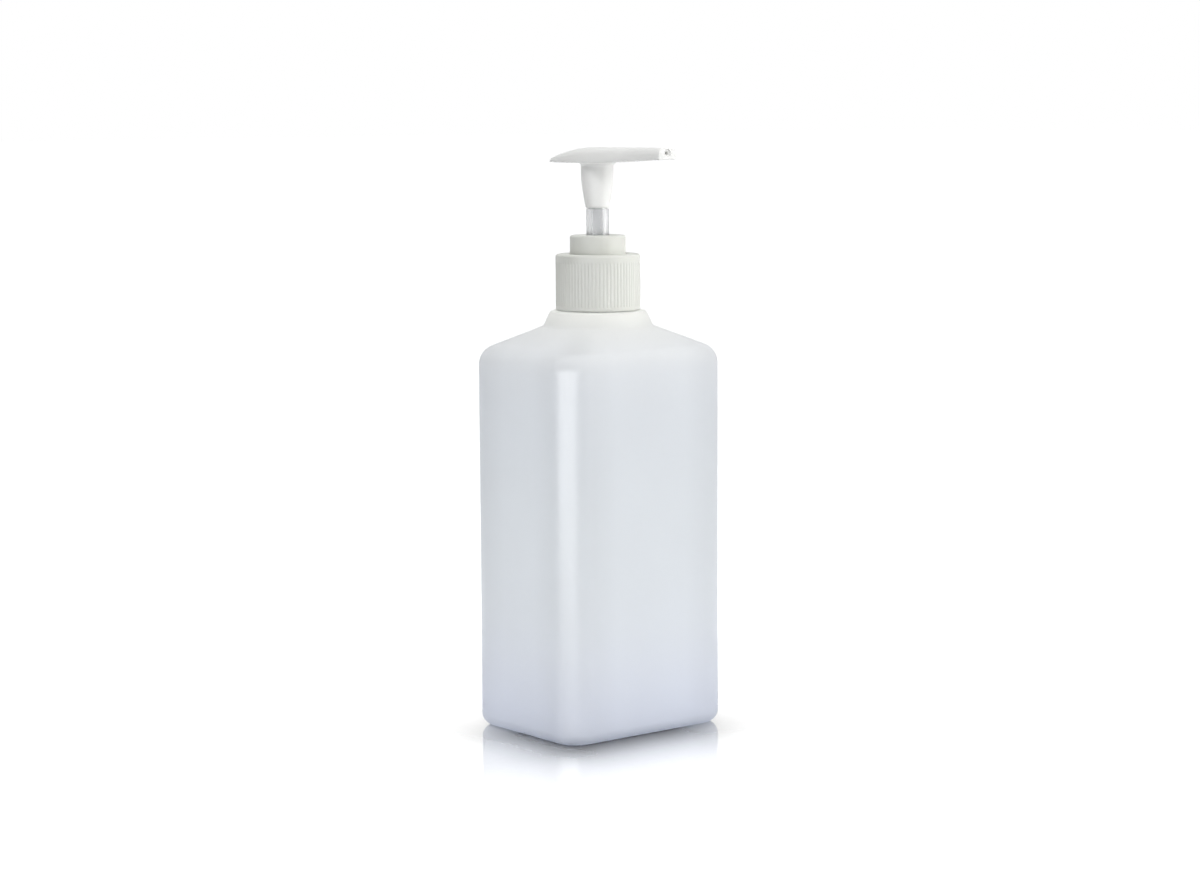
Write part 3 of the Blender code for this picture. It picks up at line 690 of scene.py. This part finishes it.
def ribbed_ring(radius, depth, height):
    """A circle with rounded ribs that stand between narrow valleys."""
    count = 72
    per_rib = 8
    ring = []
    for k in range(count * per_rib):
        phase = (k % per_rib) / per_rib
        dip = (0.5 + 0.5 * math.cos(TURN * phase)) ** 2.0
        reach = radius - depth * dip
        angle = TURN * (k + per_rib / 2) / (count * per_rib)
        ring.append((reach * math.cos(angle), reach * math.sin(angle), height))
    return ring


def make_closure(material):
    """The ribbed screw cap with its plain foot band, rounded top edge and inner thread."""
    low, high = CAP_LOW.z, CAP_HIGH.z
    bore = CAP_R - 2.0 * MM
    hole = 12.7 * MM
    edge_r = 1.1 * MM
    soft = 0.3 * MM
    lead_in = 0.6 * MM
    under = high - CAP_PLATE
    rows = [(bore + lead_in, 0, low), (CAP_R - soft, 0, low)]

    def bend(*arguments):
        rows.extend((reach, 0, height) for reach, height, out, up in fillet(*arguments))

    bend((bore, low), (CAP_R, low), (CAP_R, high), soft, 3)
    depth = 0.24 * MM
    rib_low, rib_high = low + 1.4 * MM, high - 3.2 * MM
    low_run, high_run = 0.6 * MM, 1.0 * MM
    for share in (0.0, 0.35, 0.7, 1.0):
        rows.append((CAP_R, depth * math.sin(RIGHT_ANGLE * share), rib_low + low_run * share))
    steps = 6
    for k in range(1, steps):
        rise = (rib_high - rib_low - low_run - high_run) * k / steps
        rows.append((CAP_R, depth, rib_low + low_run + rise))
    for share in (0.0, 0.3, 0.6, 0.85, 1.0):
        rise = high_run * share
        rows.append((CAP_R, depth * math.cos(RIGHT_ANGLE * share), rib_high - high_run + rise))
    bend((CAP_R, low), (CAP_R, high), (hole, high), edge_r, 8)
    bend((CAP_R, high), (hole, high), (hole, under), soft, 3)
    rows += [(hole, 0, under), (bore, 0, under), (bore, 0, low + lead_in)]
    mesh = loft_mesh("screw_cap", [ribbed_ring(*row) for row in rows], looped=True)
    ridge = 1.2 * MM
    thread = helix_ridge("cap_thread", bore + THREAD_SUNK, bore - ridge, base=1.5 * MM, tip=0.7 * MM,
                         start=NECK_FOOT_Z + THREAD_START + THREAD_PITCH / 2, turns=1.25)
    mesh = apply_booleans(mesh, [(thread, "UNION")])
    add_piece("screw_cap", mesh, material, "closure", "closure", 40.0)


def make_chaplet(material):
    """The boss that guides the stem, with its flange under the cap's plate."""
    low, high = BOSS_LOW.z, BOSS_HIGH.z
    boss = 12.4 * MM
    shell = boss - 1.5 * MM
    bore = STEM_R + SEAT
    guide = bore + 1.2 * MM
    under = high - 1.8 * MM
    flange_top = CAP_HIGH.z - CAP_PLATE - SEAT
    flange_low = flange_top - 1.2 * MM
    outline = rounded([
        (bore, high, 0.5 * MM),
        (bore, low, 0.3 * MM),
        (guide, low, 0.3 * MM),
        (guide, under, 0.5 * MM),
        (shell, under, 0.5 * MM),
        (shell, flange_low, 0),
        (FLANGE_R, flange_low, 0.2 * MM),
        (FLANGE_R, flange_top, 0.2 * MM),
        (boss, flange_top, 0),
        (boss, high, 1.0 * MM),
    ])
    mesh = turned_mesh("stem_boss", outline)
    add_piece("stem_boss", mesh, material, "pump_body", "chaplet", 50.0)


def make_stem(material):
    """The clear stem with its thinner spigot."""
    spigot = 3.9 * MM
    shoulder = HEAD_LOW.z - SEAT
    soft = 0.25 * MM
    outline = rounded([
        (STEM_BORE, STEM_HIGH.z, 0),
        (STEM_BORE, STEM_LOW.z, 0),
        (STEM_R, STEM_LOW.z, soft),
        (STEM_R, shoulder, soft),
        (spigot, shoulder, 0),
        (spigot, STEM_HIGH.z, soft),
    ], 4)
    mesh = turned_mesh("clear_stem", outline, 96)
    add_piece("clear_stem", mesh, material, "head", "stem", 50.0)


def head_half_width(along):
    """Half the head's width, from the broad pad behind (along below 0) to the spout ahead."""
    spout = 5.0 * MM
    rear_tip = 1.6 * MM
    if along >= 0:
        share = along / SPOUT_REACH
        return spout + (PAD_HALF - spout) * (0.5 + 0.5 * math.cos(math.pi * share ** 0.8))
    share = min(1.0, -along / PAD_REACH)
    return rear_tip + (PAD_HALF - rear_tip) * math.sqrt(max(0.0, 1 - share ** 2.4))


def head_levels(along):
    """The heights of the head's underside and top."""
    if along >= 0:
        tip_rise = 1.9 * MM
        share = max(0.0, (along - SLEEVE_TOP_R) / (SPOUT_REACH - SLEEVE_TOP_R))
        return HEAD_FOOT_Z + tip_rise * share, HEAD_HIGH.z
    rear_thick = 1.0 * MM
    share = -along / PAD_REACH
    return HEAD_FOOT_Z, HEAD_HIGH.z - (HEAD_THICK - rear_thick) * share ** 1.6


def head_section(along, inset=0.0):
    """A section of the head: flat below with soft edges, arched above."""
    low, high = head_levels(along)
    half = head_half_width(along) - inset
    low, high = low + inset, high - inset
    edge = min(0.7 * MM, 0.3 * (high - low), 0.4 * half)
    points = []
    steps = 4
    for k in range(steps + 1):
        angle = RIGHT_ANGLE * k / steps
        points.append((half - edge + edge * math.sin(angle), low + edge - edge * math.cos(angle)))
    arch_steps = 32
    arch_power = 0.55
    flank = low + edge
    for k in range(1, arch_steps):
        angle = math.pi * k / arch_steps
        across = math.copysign(abs(math.cos(angle)) ** arch_power, math.cos(angle))
        points.append((half * across, flank + (high - flank) * abs(math.sin(angle)) ** arch_power))
    for k in range(steps + 1):
        angle = RIGHT_ANGLE * (1 - k / steps)
        points.append((edge - half - edge * math.sin(angle), low + edge - edge * math.cos(angle)))
    return [(across, -along, height) for across, height in points]


def head_rings():
    """The head's sections from the pad's rear to the spout's softened tip."""
    steps = 14
    rear = [PAD_REACH * (1 - 0.5 * (k / steps) ** 2.2) for k in range(steps + 1)]
    steps = 9
    rear += [PAD_REACH * 0.5 * (1 - k / steps) for k in range(1, steps)]
    steps = 30
    front = [SPOUT_REACH * k / steps for k in range(steps)]
    rings = [head_section(-along) for along in rear]
    rings += [head_section(along) for along in front]
    soft = 0.35 * MM
    steps = 3
    for k in range(steps + 1):
        angle = RIGHT_ANGLE * k / steps
        along = SPOUT_REACH - soft + soft * math.sin(angle)
        rings.append(head_section(along, soft * (1 - math.cos(angle))))
    return rings


def sleeve_tool():
    """The sleeve around the stem: it widens upwards and flares into the head's underside."""
    low = HEAD_LOW.z
    flare = 1.6 * MM
    soft = 0.3 * MM
    cone = 12.2 * MM
    outline = [(SLEEVE_FOOT_R - soft, low), (SLEEVE_FOOT_R, low + soft)]
    steps = 12
    for k in range(1, steps + 1):
        share = k / steps
        outline.append((SLEEVE_FOOT_R + (SLEEVE_TOP_R - SLEEVE_FOOT_R) * share ** 0.85,
                        low + soft + cone * share))
    outline.append((SLEEVE_TOP_R, HEAD_FOOT_Z - flare))
    steps = 6
    for k in range(1, steps + 1):
        angle = RIGHT_ANGLE * k / steps
        outline.append((SLEEVE_TOP_R + flare * (1 - math.cos(angle)),
                        HEAD_FOOT_Z - flare + flare * math.sin(angle)))
    outline.append((SLEEVE_TOP_R + flare, HEAD_FOOT_Z + 0.8 * MM))
    return turned_tool("sleeve", outline)


def make_actuator(material):
    """The pump head: pad, spout and sleeve in one moulding, with its bore and nozzle."""
    mesh = loft_mesh("pump_head", head_rings())
    sleeve = sleeve_tool()
    bore = 4.2 * MM
    spigot_top = STEM_HIGH.z + SEAT
    channel_z = HEAD_HIGH.z - 2.3 * MM
    drill = turned_tool("stem_drill", [
        (bore, HEAD_LOW.z - 1 * MM),
        (bore, spigot_top),
        (STEM_BORE, spigot_top),
        (STEM_BORE, channel_z),
    ])
    channel_r = 1.4 * MM
    nozzle = 0.8 * MM
    recess_r = nozzle + 0.9 * MM
    recess_end = SPOUT_REACH - 0.6 * MM
    soft = 0.15 * MM
    channel = turned_tool("channel", [
        (channel_r, 0.0),
        (channel_r, SPOUT_REACH - 3 * MM),
        (nozzle, SPOUT_REACH - 2.4 * MM),
        (nozzle, recess_end - soft),
        (nozzle + soft, recess_end),
        (recess_r - soft, recess_end),
        (recess_r, recess_end + soft),
        (recess_r, SPOUT_REACH + 1 * MM),
    ], 48)
    channel.rotation_euler = (RIGHT_ANGLE, 0.0, 0.0)
    channel.location = (0.0, 0.0, channel_z)
    mesh = apply_booleans(mesh, [(sleeve, "UNION"), (drill, "DIFFERENCE"), (channel, "DIFFERENCE")])
    add_piece("pump_head", mesh, material, "head", "actuator", 40.0)


def make_spring(material):
    """The return spring with its closed end coils."""
    wire = 0.45 * MM
    coil = 4.9 * MM
    turns = 8.0
    dead_pitch = 1.2 * MM
    per_turn = 40
    sides = 10
    low, high = SPRING_LOW.z + wire, SPRING_HIGH.z - wire
    rings = []
    for k in range(int(turns * per_turn) + 1):
        turn = k / per_turn
        if turn <= 1:
            height = low + dead_pitch * turn
        elif turn >= turns - 1:
            height = high - dead_pitch * (turns - turn)
        else:
            height = low + dead_pitch + (high - low - 2 * dead_pitch) * (turn - 1) / (turns - 2)
        angle = TURN * turn
        ring = []
        for j in range(sides):
            around = -TURN * j / sides
            radius = coil + wire * math.cos(around)
            rise = wire * math.sin(around)
            ring.append((radius * math.cos(angle), radius * math.sin(angle), height + rise))
        rings.append(ring)
    mesh = loft_mesh("coil_spring", rings)
    spring = add_piece("coil_spring", mesh, material, "pump_body", "return_spring", 60.0)
    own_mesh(spring)


def box_distance(shader, middle, inset):
    """How far a point of the floor lies outside the foot's box, which is moved and made smaller."""
    away = shader.vector("ABSOLUTE", shader.vector("SUBTRACT", shader.place, middle))
    beyond = shader.vector("SUBTRACT", away, (HALF_X - inset, HALF_Y - inset, 0.0))
    return shader.vector("LENGTH", shader.vector("MAXIMUM", beyond), result="Value")


def floor_material():
    """A pale gloss floor: white to the eye, with the bottle's shadow, a painted shadow around the foot,
    and a reflection that fades.
    """
    shader = Shader("pale_floor")
    tone = shader.two_tone(shader.noise(300.0, 300.0), srgb(236, 237, 238), srgb(240, 241, 242))
    shader.dress(Base_Color=tone)
    shader.set(Roughness=0.9, Specular_IOR_Level=0.0)

    distance = box_distance(shader, (0.0, 0.0, 0.0), FOOT_R)
    glow = shader.add("ShaderNodeEmission")
    near_glow = shader.ranged(distance, FLOOR_GLOW, 1.0, GLOW_FROM, GLOW_TO)
    shader.feed(shader.calc("MULTIPLY", shader.seen(), near_glow), glow.inputs["Strength"])
    lit = shader.add("ShaderNodeAddShader")
    shader.feed(shader.surface.outputs[0], lit.inputs[0])
    shader.feed(glow.outputs[0], lit.inputs[1])

    gloss = shader.add("ShaderNodeBsdfGlossy")
    gloss.inputs["Roughness"].default_value = REFLECTION_BLUR
    gloss.inputs["Color"].default_value = (1.0, 0.996, 0.988, 1.0)
    nearness = shader.ranged(distance, 1.0, 0.0, 0.0, REFLECTION_REACH)
    share = shader.calc("MULTIPLY", shader.calc("POWER", nearness, REFLECTION_FALL), REFLECTION_SHARE)
    mirrored = shader.mixed(share, lit.outputs[0], gloss.outputs[0])

    # Painted shadow: a dark shader mixed in around the foot's box, which is moved towards the camera
    under = box_distance(shader, view_direction(0.0) * PAINTED_SHADOW_SHIFT, FOOT_R + PAINTED_SHADOW_SHIFT)
    depth = shader.calc("POWER", shader.ranged(under, 1.0, 0.0, 0.0, PAINTED_SHADOW_REACH), PAINTED_SHADOW_FALL)
    painted_shadow = shader.add("ShaderNodeBsdfDiffuse")
    painted_shadow.inputs["Color"].default_value = PAINTED_SHADOW_TONE
    painted_shadow_share = shader.ranged(depth, 0.0, PAINTED_SHADOW_STRENGTH, 0.0, 1.0)
    shader.finish(shader.mixed(painted_shadow_share, mirrored, painted_shadow.outputs[0]))
    return shader.material


def make_floor():
    """The floor, as staging that isn't part of the object."""
    mesh = bpy.data.meshes.new("floor")
    shape = bmesh.new()
    bmesh.ops.create_grid(shape, x_segments=2, y_segments=2, size=FLOOR_SIZE)
    shape.to_mesh(mesh)
    shape.free()
    floor = add_object("floor", mesh)
    floor.location = (0.0, 0.0, -FLOOR_DROP)
    mesh.materials.append(floor_material())


def dress_node(name, material):
    """Give a CAD node that stays visible a material in place of its own."""
    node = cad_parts[name]
    node.data.materials.clear()
    node.data.materials.append(material)


def main():
    bpy.context.scene.view_settings.view_transform = "Standard"
    make_camera()
    make_lights()
    make_floor()
    milky = milky_plastic()
    cap_white = white_plastic("white_polypropylene", srgb(204, 205, 199), srgb(209, 210, 205))
    # The head's white is a lighter copy of the cap's white: painted light for the light from above on
    # its arched top
    head_white_painted_light = white_plastic("head_polypropylene_painted_light", srgb(229, 229, 227), srgb(233, 233, 231))
    clear = clear_plastic()
    metal = steel()
    make_bottle(milky)
    make_closure(cap_white)
    make_chaplet(cap_white)
    make_stem(clear)
    make_actuator(head_white_painted_light)
    make_spring(metal)
    dress_node("neck_gasket", foam_plastic())
    dress_node("piston", head_white_painted_light)
    dress_node("inlet_ball", metal)
    for name in ("pump_housing", "piston_rod", "dip_tube"):
        dress_node(name, clear)


main()
